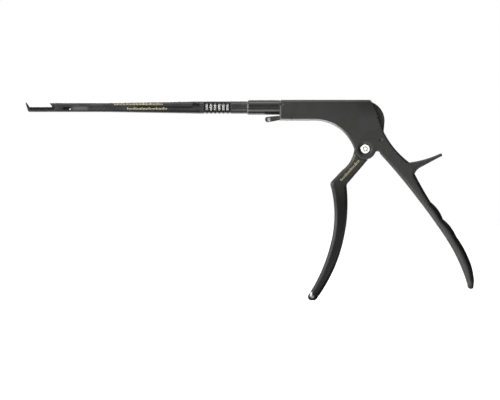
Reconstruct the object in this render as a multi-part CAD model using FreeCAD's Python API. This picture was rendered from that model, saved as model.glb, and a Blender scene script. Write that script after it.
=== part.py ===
import FreeCAD, Part
import math
import os

# A take-apart bone punch: a long two-part shaft in a pistol handle.
# Sizes are in millimetres. X runs along the shaft from the tip to the handle, Z is up, Y is across.
# The origin is on the shaft's axis, at the front face of the barrel.

# Clearances
slide_gap = 0.05
turn_gap = 0.03
seat_gap = 0.02
swing_gap = 0.10

# Shaft outline: a round bar that tapers to a slim tip, with flat sides in front of the ribbed grip
foot_x = -151.3
jaw_travel = 15.8
jaw_rest_gap = 0.1
tip_radius = 3.2
rear_radius = 4.35
tail_radius = 4.0
tip_width = 5.0
rear_width = 7.0
taper_start_x = -98.0
taper_end_x = -33.0
shoulder_x = 21.0
tail_end_x = 43.5

# Parting of the two halves, and the tee-shaped key that guides them
parting_z = 0.25
guide_start_x = -122.8
tee_neck_half = 0.7
tee_head_half = 1.4
tee_neck_z = -0.85
tee_floor_z = -1.9

# Front of the lower shaft: a narrow rib on a full-width base
rib_half = 1.25
rib_top_z = 0.0
base_top_z = -1.7

# Foot plate, with a rounded heel below and a rounded lip on top
foot_width = 4.6
foot_top_z = 3.5
foot_thickness = 1.35
foot_heel = 1.3
foot_lip = 0.5

# Cutting end of the slider
bite_slant = 0.68
bite_height = 2.3
saddle_length = 8.0
saddle_undercut = 1.3
saddle_bottom_z = -1.6
cup_radius = 1.7
cup_depth = 4.6

# Ribbed pull grip on the lower shaft
grip_start_x = -31.0
grip_end_x = -11.3
grip_flat_half = 3.9
rib_count = 6
rib_pitch = 2.87
rib_width = 1.5
first_rib_x = -28.15
groove_side_half = 3.3
groove_radius = 3.95
groove_top_z = 3.0
channel_half = 1.65
tail_half = 1.6

# Slider pin
slider_pin_x = -36.1
slider_pin_z = 2.1
slider_pin_radius = 0.9

# Barrel
barrel_radius = 5.1
barrel_rim = 0.55
spigot_radius = 4.75
spigot_length = 7.6
bore_gap = 0.08
barrel_pin_radius = 1.0
barrel_pin_inset = 1.3
barrel_pin_z = 1.9
barrel_pin_inner_y = 3.9

# Waist under the barrel: its lower sides are milled away above the release lever
waist_start_x = 12.0
waist_top_z = -3.06
waist_half = 2.6

# Housing
housing_front_x = 22.3
housing_top_z = 5.2
housing_bottom_z = -9.1
body_half = 6.0
handle_half = 5.85
band_bottom_z = -6.3
top_round = 2.6
edge_break = 0.8
finger_bevel = 2.2
finger_reach = 6.0
lever_bevel = 1.6
rear_top_x = 85.1
rear_top_drop = 2.8
rear_top_run = 2.1
underside_radius = 26.6

# Cavity for the drive block
cavity_start_x = 46.5
cavity_half = 4.3
cavity_floor_z = -5.5
cavity_roof_z = 3.9

# Pivot of the trigger, below the drive pin by the length of the arm
arm_length = 28.8
arm_rest_deg = 4.0
drive_pin_z = -0.17
pivot_x = 81.7
pivot_z = drive_pin_z - arm_length * math.cos(math.radians(arm_rest_deg))
lug_radius = 7.4
tongue_half = 2.5
shoulder_gap = 0.2
screw_head_radius = 3.2
screw_head_height = 1.2
screw_head_stand = 0.25
screw_head_round = 0.35
screw_head_room = 0.1
socket_radius = 1.3
socket_web = 0.2
nut_floor = 0.6
sleeve_radius = 2.3
thread_radius = 1.25
bush_wall = 0.8
dish_radius = 5.2
dish_lip = 0.4
dish_depth = 0.5
slot_knuckle_room = 0.7
slot_top_half = 14.0
open_top_front = 8.2
open_stop_radius = 0.9
pin_end_room = 0.1

# Drive: a pin in the trigger's head moves the block by a pair of upright slots
arm_half = 4.0
arm_end = 2.0
tongue_root_reach = 4.0
drive_pin_radius = 1.0
block_room = 0.1
block_chamfer = 0.4
block_front_x = 68.0
block_rear_x = 85.9
fork_front_x = 76.5
coupling_pin_x = 72.0
coupling_pin_z = 1.4
coupling_pin_radius = 0.8
tail_tip_x = 74.0

# Return spring
spring_axis_z = -2.75
spring_radius = 1.9
spring_wire = 0.6
spring_turns = 9
plug_stub_length = 6.0
plug_radius = 1.4
plug_flange_radius = 2.3
plug_flange = 0.8
plug_stud_gap = 0.9
flange_gap = 0.1
washer_thickness = 0.5
washer_bore = 0.9
spring_pocket_depth = 2.0
coil_gap = 0.02

# Release lever: a round pad in front, a tooth behind that holds the shaft
release_width = 4.2
release_side_gap = 0.15
release_pin_x = 31.0
release_pin_z = -7.3
release_pin_radius = 0.7
release_nose_x = 12.2
release_pad_top_z = -6.5
release_pad_low_z = -10.3
release_neck_z = -5.85
release_bevel = 0.9
release_rear_x = 43.0
release_drop = 0.7
release_heel = 4.0
release_channel_roof_z = -5.4
tooth_x = 40.0
tooth_length = 2.0
tooth_top_z = -3.4
tooth_side = 0.5
tooth_room = 0.15
tooth_swing = 0.45
release_spring_x = 27.6
release_spring_radius = 0.85
release_spring_wire = 0.3
release_spring_turns = 4
release_pocket_floor_z = housing_bottom_z + 1.1

# Places on the fixed grip, given from the pivot
crotch = (8.4, -1.6)
grip_inner = [
    (10.7, -3.5),
    (23.0, -17.4),
    (36.3, -34.1),
    (46.7, -48.0),
    (56.2, -61.9),
    (65.3, -78.5),
    (71.2, -94.6),
]
grip_tip = [(72.6, -97.1), (75.1, -96.3), (75.6, -91.1)]
finger_valleys = [(45.3, -36.8), (53.9, -48.7), (63.2, -60.8), (70.9, -74.0), (75.6, -91.1)]
finger_crests = [(51.0, -42.8), (59.7, -54.6), (67.4, -67.1), (74.0, -82.0)]
spur_foot = (39.6, -27.2)
spur_root = [(34.3, -17.4), (35.6, -15.0), (38.2, -12.9)]
spur_tip = [(52.2, -5.4), (53.3, -4.0), (52.2, -3.2)]
spur_top = [(41.0, -7.3), (30.6, -9.4)]
rear_edge = [(20.0, 0.7), (13.2, 11.1)]

# Places on the trigger, given from the pivot
lever_front = [(-9.1, -6.3), (-15.8, -14.6), (-23.2, -22.4)]
lever_knee = [
    (-24.0, -24.2),
    (-23.6, -26.4),
    (-21.2, -45.2),
    (-23.5, -64.6),
    (-28.8, -81.3),
    (-39.7, -102.0),
]
lever_tip = [(-39.2, -104.3), (-36.6, -104.9), (-34.6, -104.7), (-33.4, -103.6)]
lever_rear = [
    (-20.8, -81.3),
    (-15.4, -64.6),
    (-12.4, -44.0),
    (-12.75, -27.2),
    (-12.7, -24.8),
    (-11.2, -22.8),
]
tongue_rear = [(7.1, 1.6), (12.9, 12.2)]

# Places on the hump of the trigger's head: how far behind the pivot, and how high over the drive pin
hump = [(2.0, 4.5), (10.9, -1.1), (13.5, -9.3)]

far = 400.0


def vec(x, y, z):
    return FreeCAD.Vector(x, y, z)


def box(x0, x1, y0, y1, z0, z1):
    return Part.makeBox(x1 - x0, y1 - y0, z1 - z0, vec(x0, y0, z0))


def rod_x(x0, x1, radius, z=0.0):
    return Part.makeCylinder(radius, x1 - x0, vec(x0, 0, z), vec(1, 0, 0))


def rod_y(x, z, radius, y0, y1):
    return Part.makeCylinder(radius, y1 - y0, vec(x, y0, z), vec(0, 1, 0))


def rod_z(x, radius, z0, z1):
    return Part.makeCylinder(radius, z1 - z0, vec(x, 0, z0), vec(0, 0, 1))


# Face in the XZ plane. A step is a point for a straight line, or a pair of points for an arc.
def outline(start, *steps):
    edges = []
    here = start
    for step in steps:
        if isinstance(step[0], tuple):
            via, end = step
            arc = Part.Arc(vec(here[0], 0, here[1]), vec(via[0], 0, via[1]), vec(end[0], 0, end[1]))
            edges.append(arc.toShape())
        else:
            end = step
            edges.append(Part.LineSegment(vec(here[0], 0, here[1]), vec(end[0], 0, end[1])).toShape())
        here = end
    if here != start:
        edges.append(Part.LineSegment(vec(here[0], 0, here[1]), vec(start[0], 0, start[1])).toShape())
    return Part.Face(Part.Wire(edges))


def slab(face, half):
    moved = face.copy()
    moved.translate(vec(0, -half, 0))
    return moved.extrude(vec(0, 2 * half, 0))


# Wedge from an arc's centre that holds the arc and some room outside it
def arc_wedge(edge, centre, low_y, high_y):
    reach = 1.8
    first = edge.FirstParameter
    step = (edge.LastParameter - first) / 4
    rays = []
    for index in range(5):
        point = edge.valueAt(first + index * step)
        rays.append((centre.x + reach * (point.x - centre.x), centre.z + reach * (point.z - centre.z)))
    wedge = outline((centre.x, centre.z), *rays)
    wedge.translate(vec(0, low_y, 0))
    return wedge.extrude(vec(0, high_y - low_y, 0))


# Cutter that bevels one edge of an outline on the far side of a slab
def edge_cutter(edge, face, half, size):
    low_y = half - size
    first = edge.FirstParameter
    middle = edge.valueAt((first + edge.LastParameter) / 2)
    if isinstance(edge.Curve, Part.Circle):
        centre = edge.Curve.Center
        radius = edge.Curve.Radius
        wedge = arc_wedge(edge, centre, low_y, half + 1)
        inward = (centre - middle).normalize() * 0.05
        if face.isInside(middle + inward, 0.001, False):
            cone = Part.makeCone(radius, radius - size, size, vec(centre.x, low_y, centre.z), vec(0, 1, 0))
            return wedge.cut(cone)
        cone = Part.makeCone(radius, radius + size, size, vec(centre.x, low_y, centre.z), vec(0, 1, 0))
        return wedge.common(cone)
    start = edge.valueAt(first)
    along = edge.valueAt(edge.LastParameter) - start
    out = vec(along.z, 0, -along.x).normalize()
    if face.isInside(middle + out * 0.05, 0.001, False):
        out = out * -1
    extra = 0.2
    corners = [(-size - extra, half + extra), (extra, low_y - extra), (extra, half + extra)]
    points = [start + out * offset + vec(0, y, 0) for offset, y in corners]
    return Part.Face(Part.makePolygon(points + points[:1])).extrude(along)


# Bevel the edges of a slab, on both sides, where the middle of the outline's edge passes a test
def bevel(solid, face, half, size, wanted):
    cutters = []
    for edge in face.OuterWire.Edges:
        middle = edge.valueAt((edge.FirstParameter + edge.LastParameter) / 2)
        if wanted(middle):
            cutter = edge_cutter(edge, face, half, size)
            cutters.append(cutter)
            cutters.append(cutter.mirror(vec(0, 0, 0), vec(0, 1, 0)))
    for cutter in cutters:
        solid = solid.cut(cutter)
    return solid


def from_pivot(dx, dz):
    return (pivot_x + dx, pivot_z + dz)


def around_pivot(radius, degrees):
    angle = math.radians(degrees)
    return from_pivot(radius * math.cos(angle), radius * math.sin(angle))


# Round bar of the whole shaft, smaller all round by the given amount
def shaft_bar(shrink=0.0):
    radii = [
        (foot_x - 3.5, tip_radius),
        (taper_start_x, tip_radius),
        (taper_end_x, rear_radius),
        (shoulder_x, rear_radius),
        (shoulder_x, tail_radius),
        (tail_end_x, tail_radius),
    ]
    points = [(x, r - shrink) for x, r in radii]
    face = outline((foot_x - 3.5, 0), *points, (tail_end_x, 0))
    return face.revolve(vec(0, 0, 0), vec(1, 0, 0), 360)


# Slab that gives the front of the shaft its flat sides
def flat_sides():
    widths = [
        (foot_x - 3.5, tip_width / 2),
        (taper_start_x, tip_width / 2),
        (grip_start_x, rear_width / 2),
    ]
    near = [vec(x, -half, -far) for x, half in widths]
    away = [vec(x, half, -far) for x, half in reversed(widths)]
    wire = Part.makePolygon(near + away + near[:1])
    return Part.Face(wire).extrude(vec(0, 0, 2 * far))


# Tee-shaped rail along the shaft, with its neck at the parting line
def tee(x0, x1, gap):
    neck = box(x0, x1, -tee_neck_half - gap, tee_neck_half + gap, tee_floor_z, parting_z + slide_gap)
    head = box(x0, x1, -tee_head_half - gap, tee_head_half + gap, tee_floor_z - gap, tee_neck_z + gap)
    return neck.fuse(head)


# Place of the foot plate's inner face at a height
def bite_x(z):
    return foot_x - bite_slant * (z - rib_top_z)


# Foot plate that the cutter closes on; it meets the shaft at the foot of its inner face
def foot_plate():
    low = -tip_radius
    seam_x = bite_x(base_top_z)
    back_x = bite_x(bite_height) - foot_thickness
    face = outline(
        (seam_x, low),
        (foot_x, low),
        ((foot_x - 0.75 * foot_heel, low + 0.35 * foot_heel), (foot_x - foot_heel, low + foot_heel)),
        (back_x, foot_top_z - foot_lip),
        ((back_x + 0.2 * foot_lip, foot_top_z - 0.2 * foot_lip), (back_x + foot_lip, foot_top_z)),
        (bite_x(bite_height), bite_height),
        (seam_x, base_top_z),
    )
    half = foot_width / 2
    start_x = back_x - foot_thickness
    rounded = rod_x(start_x, seam_x, half, foot_top_z - half)
    stem = box(start_x, seam_x, -half, half, -far, foot_top_z - half)
    under = rod_x(start_x, seam_x, tip_radius)
    above = box(start_x, seam_x, -half, half, base_top_z, far)
    return slab(face, half).common(rounded.fuse(stem)).common(under.fuse(above))


# Grooves between the ribs of the pull grip, with one in front and one behind
def grip_grooves():
    grooves = []
    half = (rib_pitch - rib_width) / 2
    for index in range(rib_count + 1):
        centre = first_rib_x + (index - 0.5) * rib_pitch
        x0 = centre - half
        x1 = centre + half
        ring = box(x0, x1, -far, far, -far, groove_top_z)
        core = rod_x(x0, x1, groove_radius)
        core = core.common(box(x0, x1, -groove_side_half, groove_side_half, -far, far))
        grooves.append(ring.cut(core))
    return grooves


def lower_shaft():
    bar = shaft_bar()
    flat_bar = bar.common(flat_sides())
    seam_x = bite_x(base_top_z)
    guide = flat_bar.common(box(guide_start_x, grip_start_x, -far, far, -far, parting_z))
    base = flat_bar.common(box(seam_x, guide_start_x, -far, far, -far, base_top_z))
    rib_face = outline(
        (seam_x, base_top_z),
        (bite_x(rib_top_z), rib_top_z),
        (guide_start_x, rib_top_z),
        (guide_start_x, -tip_width / 2),
        (seam_x, -tip_width / 2),
    )
    rear = bar.common(box(grip_start_x, tail_end_x, -far, far, -far, far))
    flats = box(grip_start_x, grip_end_x, -far, far, -far, far)
    flats = flats.cut(box(grip_start_x, grip_end_x, -grip_flat_half, grip_flat_half, -far, far))
    rear = rear.cut(flats)
    for groove in grip_grooves():
        rear = rear.cut(groove)
    channel = box(grip_start_x - 1, tail_end_x + 1, -channel_half, channel_half, parting_z, far)
    rear = rear.cut(channel)
    shaft = guide.fuse([base, slab(rib_face, rib_half), rear])
    shaft = shaft.cut(tee(guide_start_x - 1, grip_start_x + 1, slide_gap))
    notch_end = tooth_x + tooth_length + tooth_swing
    notch = box(tooth_x - tooth_room, notch_end, -far, far, -far, tooth_top_z + tooth_room)
    return shaft.cut(notch).removeSplitter()


# Everything in front of the slider's slanted cutting face
def in_front_of_cutter():
    shift = jaw_travel + jaw_rest_gap
    reach = 10.0
    face = outline(
        (bite_x(reach) + shift, reach),
        (bite_x(-reach) + shift, -reach),
        (foot_x - reach, -reach),
        (foot_x - reach, reach),
    )
    return slab(face, far)


# Sliding half: a saddle with the cutting edge in front, a narrow tail behind that runs through the barrel
def upper_slider():
    front_x = bite_x(tip_radius) + jaw_travel
    floor = parting_z + slide_gap
    flat_bar = shaft_bar().common(flat_sides())
    body = flat_bar.common(box(front_x, grip_start_x - slide_gap, -far, far, floor, far))
    saddle_end = bite_x(rib_top_z) + jaw_travel + saddle_length
    skirt = flat_bar.common(box(front_x, saddle_end, -far, far, saddle_bottom_z, floor + rib_half))
    rib_room = rib_half + swing_gap
    skirt = skirt.cut(box(front_x, saddle_end, -rib_room, rib_room, -far, floor))
    undercut = outline(
        (saddle_end, floor),
        (saddle_end - saddle_undercut, saddle_bottom_z),
        (saddle_end, saddle_bottom_z),
    )
    skirt = skirt.cut(slab(undercut, far))
    tail = shaft_bar(slide_gap).common(box(grip_start_x - 1, tail_end_x, -tail_half, tail_half, floor, far))
    tail_bar = box(tail_end_x, tail_tip_x, -tail_half, tail_half, floor, cavity_roof_z - 2 * swing_gap)
    key = tee(guide_start_x + jaw_travel + 1, grip_start_x - slide_gap, 0.0)
    slider = body.fuse([skirt, tail, tail_bar, key])
    slider = slider.cut(in_front_of_cutter())
    cup = rod_x(front_x, bite_x(parting_z) + jaw_travel + cup_depth, cup_radius, floor)
    slider = slider.cut(cup.common(box(-far, far, -far, far, floor - 0.01, far)))
    slider = slider.cut(rod_y(slider_pin_x, slider_pin_z, slider_pin_radius + seat_gap, -far, far))
    hook_half = coupling_pin_radius + slide_gap
    hook = box(coupling_pin_x - hook_half, coupling_pin_x + hook_half, -far, far, floor - 1, coupling_pin_z)
    hook = hook.fuse(rod_y(coupling_pin_x, coupling_pin_z, hook_half, -far, far))
    return slider.cut(hook).removeSplitter()


# Half width of the flat sides at a place on the tapered part
def side_half_at(x):
    share = (x - taper_start_x) / (grip_start_x - taper_start_x)
    return (tip_width + share * (rear_width - tip_width)) / 2


def slider_pin():
    half = side_half_at(slider_pin_x) - pin_end_room
    return rod_y(slider_pin_x, slider_pin_z, slider_pin_radius, -half, half)


def barrel_sleeve():
    bore = rear_radius + bore_gap
    tail_bore = tail_radius + bore_gap
    end_x = housing_front_x + spigot_length
    face = outline(
        (0, bore + barrel_rim / 2),
        (0, barrel_radius - barrel_rim),
        (barrel_rim, barrel_radius),
        (housing_front_x, barrel_radius),
        (housing_front_x, spigot_radius),
        (end_x, spigot_radius),
        (end_x, tail_bore),
        (shoulder_x + bore_gap, tail_bore),
        (shoulder_x + bore_gap, bore),
        (barrel_rim / 2, bore),
    )
    sleeve = face.revolve(vec(0, 0, 0), vec(1, 0, 0), 360)
    waist = box(waist_start_x, housing_front_x, -far, far, -far, waist_top_z)
    keel = box(waist_start_x, housing_front_x, -waist_half, waist_half, -far, waist_top_z)
    sleeve = sleeve.cut(waist.cut(keel))
    for side in (-1, 1):
        sleeve = sleeve.cut(barrel_pin(side, seat_gap))
    return sleeve


# One of the two short pins that hold the spigot in the housing
def barrel_pin(side, gap):
    length = body_half - barrel_pin_inner_y - seat_gap
    y0 = barrel_pin_inner_y if side > 0 else -barrel_pin_inner_y - length
    return rod_y(housing_front_x + barrel_pin_inset, barrel_pin_z, barrel_pin_radius + gap, y0, y0 + length)


def barrel_pins():
    return Part.makeCompound([barrel_pin(side, 0.0) for side in (-1, 1)])


# Side outline of the fixed grip, the lug and the lower part of the housing
def grip_outline():
    join_z = band_bottom_z + 0.3
    inner = [from_pivot(*point) for point in grip_inner]
    tip = [from_pivot(*point) for point in grip_tip]
    valleys = [from_pivot(*point) for point in finger_valleys]
    crests = [from_pivot(*point) for point in finger_crests]
    root = [from_pivot(*point) for point in spur_root]
    end = [from_pivot(*point) for point in spur_tip]
    top = [from_pivot(*point) for point in spur_top]
    rear = [from_pivot(*point) for point in rear_edge]
    bumps = [(crests[index], valleys[index]) for index in reversed(range(len(crests)))]
    return outline(
        (housing_front_x, join_z),
        (housing_front_x, housing_bottom_z),
        under_arc()[0],
        (under_arc()[1], around_pivot(lug_radius, 180)),
        (around_pivot(lug_radius, 250), around_pivot(lug_radius, 340)),
        (from_pivot(*crotch), inner[0]),
        (inner[1], inner[2]),
        (inner[3], inner[4]),
        (inner[5], inner[6]),
        (tip[0], tip[1]),
        valleys[-1],
        *bumps,
        (from_pivot(*spur_foot), root[0]),
        (root[1], root[2]),
        end[0],
        (end[1], end[2]),
        (top[0], top[1]),
        (rear[0], rear[1]),
        rear_face_at(join_z),
    )


# Start of the hollow under the housing, and a point half-way round it
def under_arc():
    start_x = pivot_x - lug_radius - underside_radius
    turn = math.radians(45)
    halfway_x = start_x + underside_radius * math.sin(turn)
    halfway_z = housing_bottom_z - underside_radius * (1 - math.cos(turn))
    return (start_x - swing_gap, housing_bottom_z), (halfway_x, halfway_z)


# Point on the sloping rear face of the housing at a height
def rear_face_at(z):
    low = from_pivot(*rear_edge[1])
    high = (rear_top_x + rear_top_run, housing_top_z - rear_top_drop)
    share = (z - low[1]) / (high[1] - low[1])
    return (low[0] + share * (high[0] - low[0]), z)


# Thin slot for the trigger's tongue, from the lug up through the housing
def tongue_slot():
    half = tongue_half + swing_gap
    clear = arm_half + 3 * swing_gap
    closed = math.radians(arm_rest_deg - squeeze_degrees())
    along = (math.sin(closed), math.cos(closed))
    across = (-math.cos(closed), math.sin(closed))
    foot = from_pivot(across[0] * clear, across[1] * clear)
    reach = (cavity_roof_z - foot[1]) / along[1]
    top = (foot[0] + along[0] * reach, cavity_roof_z)
    face = outline(
        foot,
        top,
        (pivot_x + slot_top_half, cavity_roof_z),
        from_pivot(slot_top_half, tongue_rear[1][1]),
        around_pivot(lug_radius + slot_knuckle_room, 14),
        around_pivot(lug_radius, -60),
    )
    slot = slab(face, half)
    knuckle = rod_y(pivot_x, pivot_z, lug_radius + shoulder_gap, -half, half)
    open_top = box(pivot_x - open_top_front, pivot_x + slot_top_half, -half, half, cavity_roof_z - 1, far)
    return slot.fuse([knuckle, open_top])


# Angle of the squeeze that moves the drive pin, and the block with it, by the jaw travel
def squeeze_degrees():
    start = math.sin(math.radians(arm_rest_deg))
    return arm_rest_deg - math.degrees(math.asin(start - jaw_travel / arm_length))


# Upright edges of the housing's front face
def front_corners(solid):
    front = [edge for edge in solid.Edges if edge.BoundBox.XMax < housing_front_x + 0.01]
    return [edge for edge in front if edge.BoundBox.YLength < 0.01]


def handle_frame():
    face = grip_outline()
    plate = slab(face, handle_half)
    plate = plate.makeChamfer(edge_break, front_corners(plate))
    plate = bevel(plate, face, handle_half, edge_break, on_plain_edge)
    plate = bevel(plate, face, handle_half, finger_bevel, near_fingers)
    band_face = outline(
        (housing_front_x, band_bottom_z),
        (housing_front_x, housing_top_z),
        (rear_top_x, housing_top_z),
        rear_face_at(housing_top_z - rear_top_drop),
        rear_face_at(band_bottom_z),
    )
    band = slab(band_face, body_half)
    top_edges = [edge for edge in band.Edges if edge.BoundBox.ZMin > housing_top_z - 0.01]
    top_edges = [edge for edge in top_edges if edge.BoundBox.XLength > 1]
    band = band.makeFillet(top_round, top_edges)
    band = band.makeChamfer(edge_break, front_corners(band))
    frame = band.fuse(plate)
    spigot_end = housing_front_x + spigot_length
    cuts = [
        rod_x(housing_front_x - 1, spigot_end + bore_gap, spigot_radius + seat_gap),
        rod_x(housing_front_x, tail_end_x + plug_stud_gap / 2, tail_radius + bore_gap),
        box(tail_end_x, cavity_start_x + 1, -channel_half, channel_half, parting_z - swing_gap, cavity_roof_z),
        box(cavity_start_x, far, -cavity_half, cavity_half, cavity_floor_z, cavity_roof_z),
        tongue_slot(),
        release_channel(),
        rod_y(release_pin_x, release_pin_z, release_pin_radius + seat_gap, -far, far),
        open_stop_pin(seat_gap),
        rod_x(tail_end_x, cavity_start_x + 1, plug_radius + seat_gap, spring_axis_z),
        rod_y(pivot_x, pivot_z, sleeve_radius + seat_gap, -far, far),
    ]
    for side in (-1, 1):
        cuts.append(barrel_pin(side, seat_gap))
        cuts.append(pivot_dish(side))
    return frame.cut(cuts).removeSplitter()


# Whether a place on the grip's outline gets the plain edge break
def on_plain_edge(point):
    below_band = point.z < (band_bottom_z + housing_bottom_z) / 2 - edge_break
    from_axis = math.hypot(point.x - pivot_x, point.z - pivot_z)
    return below_band and from_axis > lug_radius + 1 and not near_fingers(point)


# Whether a place on the grip's outline is on its finger bumps
def near_fingers(point):
    first = from_pivot(*finger_valleys[0])
    last = from_pivot(*finger_valleys[-1])
    offset = (point.x - first[0]) * (last[1] - first[1]) - (point.z - first[1]) * (last[0] - first[0])
    chord = math.hypot(last[0] - first[0], last[1] - first[1])
    inside = last[1] < point.z < first[1]
    return inside and -finger_reach < offset / chord < 0


# Recess for a screw head, with a shallow dish round it
def pivot_dish(side):
    face_y = handle_half
    seat_y = face_y - screw_head_height
    head = rod_y(pivot_x, pivot_z, screw_head_radius + screw_head_room, seat_y, face_y + screw_head_height)
    floor = vec(pivot_x, face_y - dish_depth, pivot_z)
    dish = Part.makeCone(screw_head_radius + dish_lip, dish_radius, dish_depth, floor, vec(0, 1, 0))
    cutter = head.fuse(dish)
    if side < 0:
        cutter = cutter.mirror(vec(0, 0, 0), vec(0, 1, 0))
    return cutter


# Cross pin behind the trigger's tongue, on which the open trigger rests
def open_stop_pin(gap=0.0):
    low = tongue_rear[0]
    high = tongue_rear[1]
    run = math.hypot(high[0] - low[0], high[1] - low[1])
    offset = open_stop_radius + swing_gap
    x = (low[0] + high[0]) / 2 + offset * (high[1] - low[1]) / run
    z = (low[1] + high[1]) / 2 - offset * (high[0] - low[0]) / run
    half = handle_half - pin_end_room
    place = from_pivot(x, z)
    return rod_y(place[0], place[1], open_stop_radius + gap, -half - gap, half + gap)


def lever_blade():
    shoulder = lug_radius + shoulder_gap
    front = [from_pivot(*point) for point in lever_front]
    knee = [from_pivot(*point) for point in lever_knee]
    tip = [from_pivot(*point) for point in lever_tip]
    rear = [from_pivot(*point) for point in lever_rear]
    face = outline(
        around_pivot(shoulder, 187),
        (front[0], front[1]),
        front[2],
        (knee[0], knee[1]),
        (knee[2], knee[3]),
        (knee[4], knee[5]),
        (tip[0], tip[1]),
        (tip[2], tip[3]),
        (rear[0], rear[1]),
        (rear[2], rear[3]),
        (rear[4], rear[5]),
        around_pivot(shoulder, -75),
        (around_pivot(shoulder, -124), around_pivot(shoulder, 187)),
    )
    half = handle_half - swing_gap
    return bevel(slab(face, half), face, half, lever_bevel, clear_of_lug)


# Whether a place on the trigger's outline is away from the lug
def clear_of_lug(point):
    from_axis = math.hypot(point.x - pivot_x, point.z - pivot_z)
    return from_axis > lug_radius + 3 * shoulder_gap


def lever_tongue():
    rest = math.radians(arm_rest_deg)
    along = (math.sin(rest), math.cos(rest))
    foot = (-along[1] * arm_half, along[0] * arm_half)
    rise = arm_length + arm_end
    crown = [(pivot_x + dx, drive_pin_z + dz) for dx, dz in hump]
    face = outline(
        from_pivot(*foot),
        from_pivot(foot[0] + along[0] * rise, foot[1] + along[1] * rise),
        crown[0],
        (crown[1], crown[2]),
        from_pivot(*tongue_rear[1]),
        from_pivot(*tongue_rear[0]),
        from_pivot(0, -arm_half),
    )
    knuckle = rod_y(pivot_x, pivot_z, lug_radius - swing_gap, -tongue_half, tongue_half)
    root_face = outline(
        around_pivot(lug_radius - 1, 190),
        around_pivot(lug_radius + tongue_root_reach, 215),
        around_pivot(lug_radius + tongue_root_reach, 262),
        around_pivot(lug_radius - 1, 290),
    )
    return slab(face, tongue_half).fuse([knuckle, slab(root_face, tongue_half)])


def drive_pin_place():
    return (pivot_x + arm_length * math.sin(math.radians(arm_rest_deg)), drive_pin_z)


def trigger_lever():
    lever = lever_blade().fuse(lever_tongue())
    pin_x, pin_z = drive_pin_place()
    lever = lever.cut(rod_y(pin_x, pin_z, drive_pin_radius + seat_gap, -far, far))
    bush_hole = rod_y(pivot_x, pivot_z, sleeve_radius + bush_wall + seat_gap, -far, far)
    return lever.cut(bush_hole).removeSplitter()


def pivot_bush():
    outer = rod_y(pivot_x, pivot_z, sleeve_radius + bush_wall, -tongue_half, tongue_half)
    return outer.cut(rod_y(pivot_x, pivot_z, sleeve_radius + turn_gap, -far, far))


# Sleeve nut: a head in the far cheek and a hollow axle through both cheeks
def pivot_nut():
    seat_y = handle_half - screw_head_height
    axle = rod_y(pivot_x, pivot_z, sleeve_radius, -seat_y + pin_end_room, seat_y)
    head = rod_y(pivot_x, pivot_z, screw_head_radius, seat_y, handle_half)
    nut = axle.fuse(head)
    thread = rod_y(pivot_x, pivot_z, thread_radius + seat_gap, -far, handle_half - nut_floor)
    return nut.cut(thread).removeSplitter()


def pivot_screw():
    seat_y = handle_half - screw_head_height
    top_y = handle_half + screw_head_stand
    head = rod_y(pivot_x, pivot_z, screw_head_radius, -top_y, -seat_y)
    rim = [edge for edge in head.Edges if edge.BoundBox.YMax < -handle_half]
    head = head.makeFillet(screw_head_round, rim)
    shank = rod_y(pivot_x, pivot_z, thread_radius, -seat_y, seat_y - 1)
    socket = rod_y(pivot_x, pivot_z, socket_radius, -top_y, -seat_y - socket_web)
    return head.fuse(shank).cut(socket).removeSplitter()


def drive_pin():
    pin_x, pin_z = drive_pin_place()
    half = cavity_half - swing_gap - slide_gap
    return rod_y(pin_x, pin_z, drive_pin_radius, -half, half)


# How far the pin runs ahead of the block's even motion in the middle of the squeeze
def drive_lead():
    squeeze = squeeze_degrees()
    start = math.sin(math.radians(arm_rest_deg))
    lead = 0.0
    steps = 40
    for index in range(steps + 1):
        turned = squeeze * index / steps
        moved = arm_length * (start - math.sin(math.radians(arm_rest_deg - turned)))
        lead = max(lead, moved - jaw_travel * index / steps)
    return lead


def drive_block():
    half = cavity_half - swing_gap
    low_z = cavity_floor_z + block_room
    block = box(block_front_x, block_rear_x, -half, half, low_z, cavity_roof_z - block_room)
    long_edges = [edge for edge in block.Edges if edge.BoundBox.XLength > 1]
    block = block.makeChamfer(block_chamfer, long_edges)
    pin_x, pin_z = drive_pin_place()
    slot_front = pin_x - drive_pin_radius - drive_lead() - slide_gap
    slot_rear = pin_x + drive_pin_radius + slide_gap
    slot_top = pivot_z + arm_length + drive_pin_radius + slide_gap
    fork = tongue_half + swing_gap
    tail = tail_half + slide_gap
    cuts = [
        box(fork_front_x, far, -fork, fork, -far, far),
        box(slot_front, slot_rear, -far, far, -far, slot_top),
        box(block_front_x - 1, tail_tip_x + slide_gap, -tail, tail, parting_z, far),
        rod_y(coupling_pin_x, coupling_pin_z, coupling_pin_radius + seat_gap, -far, far),
        rod_x(block_front_x - 1, block_front_x + spring_pocket_depth, plug_flange_radius, spring_axis_z),
    ]
    return block.cut(cuts).removeSplitter()


def coupling_pin():
    half = cavity_half - swing_gap - slide_gap
    return rod_y(coupling_pin_x, coupling_pin_z, coupling_pin_radius, -half, half)


# Fixed seat of the return spring: a flanged stud in the housing's inner wall
def spring_plug():
    stud = rod_x(tail_end_x + plug_stud_gap, cavity_start_x, plug_radius, spring_axis_z)
    flange_radius = plug_flange_radius - flange_gap
    flange = rod_x(cavity_start_x, cavity_start_x + plug_flange, flange_radius, spring_axis_z)
    nose_end = cavity_start_x + plug_stub_length
    nose = rod_x(cavity_start_x, nose_end, spring_radius - spring_wire, spring_axis_z)
    return stud.fuse([flange, nose]).removeSplitter()


def spring_washer():
    seat_x = block_front_x + spring_pocket_depth
    washer = rod_x(seat_x - washer_thickness, seat_x, plug_flange_radius - flange_gap, spring_axis_z)
    return washer.cut(rod_x(seat_x - 2 * washer_thickness, seat_x + 1, washer_bore, spring_axis_z))


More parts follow.
